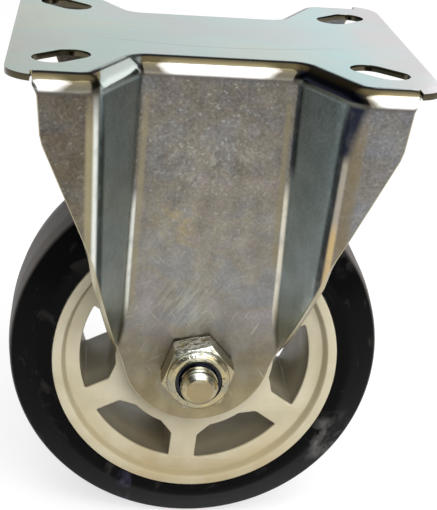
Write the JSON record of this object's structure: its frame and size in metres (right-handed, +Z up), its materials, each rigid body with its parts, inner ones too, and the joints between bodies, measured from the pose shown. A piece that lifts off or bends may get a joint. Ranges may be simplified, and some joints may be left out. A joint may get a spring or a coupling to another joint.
{
  "type": "rigid castor",
  "caption": "Rigid castor: pressed steel fork with a slotted top plate and fluted legs, carrying a moulded wheel with a black tread on a cross bolt.",
  "frame": {"origin": "centre of the top plate's upper face, which is bolted under the load", "axes": "+Z up out of the plate, X along the rolling direction, Y along the axle with the bolt's head at +Y and the nut at -Y"},
  "size_m": [0.1026, 0.0986, 0.1361],
  "materials": {
    "sheet_zinc": "bright zinc plate with a faint yellow and blue passivation, drawn and scuffed",
    "fastener_zinc": "yellow passivated zinc plate",
    "insert_plastic": "dark blue-black locking ring",
    "core_plastic": "cream moulded plastic, satin",
    "tread": "black, semi-gloss, lightly scuffed",
    "bearing_steel": "ground bearing steel",
    "ball_steel": "polished",
    "cage_plastic": "moulded"
  },
  "bodies": {
    "fork": {"fork": "sheet_zinc", "axle_bolt": "fastener_zinc", "lock_nut": "fastener_zinc", "nut_insert": "insert_plastic", "side_spacer_front": "bearing_steel", "side_spacer_back": "bearing_steel", "bearing_spacer": "bearing_steel", "inner_race_front": "bearing_steel", "inner_race_back": "bearing_steel"},
    "wheel": {"wheel_core": "core_plastic", "tyre": "tread", "outer_race_front": "bearing_steel", "outer_race_back": "bearing_steel", "shield_front_outer": "bearing_steel", "shield_front_inner": "bearing_steel", "shield_back_outer": "bearing_steel", "shield_back_inner": "bearing_steel"},
    "cage_front": {"ball_cage_front": "cage_plastic", "ball_front_1": "ball_steel", "ball_front_2": "ball_steel", "ball_front_3": "ball_steel", "ball_front_4": "ball_steel", "ball_front_5": "ball_steel", "ball_front_6": "ball_steel", "ball_front_7": "ball_steel", "ball_front_8": "ball_steel"},
    "cage_back": {"ball_cage_back": "cage_plastic", "ball_back_1": "ball_steel", "ball_back_2": "ball_steel", "ball_back_3": "ball_steel", "ball_back_4": "ball_steel", "ball_back_5": "ball_steel", "ball_back_6": "ball_steel", "ball_back_7": "ball_steel", "ball_back_8": "ball_steel"}
  },
  "joints": [
    {"name": "wheel_spin", "type": "hinge", "parent": "fork", "child": "wheel", "pos_m": [0, 0, -0.0853], "axis": [0, 1, 0], "continuous": true},
    {"name": "cage_front_turn", "type": "hinge", "parent": "fork", "child": "cage_front", "pos_m": [0, 0, -0.0853], "axis": [0, 1, 0], "continuous": true},
    {"name": "cage_back_turn", "type": "hinge", "parent": "fork", "child": "cage_back", "pos_m": [0, 0, -0.0853], "axis": [0, 1, 0], "continuous": true}
  ],
  "couplings": [
    {"joint": "cage_front_turn", "follows": "wheel_spin", "ratio": 0.6191},
    {"joint": "cage_back_turn", "follows": "wheel_spin", "ratio": 0.6191}
  ]
}
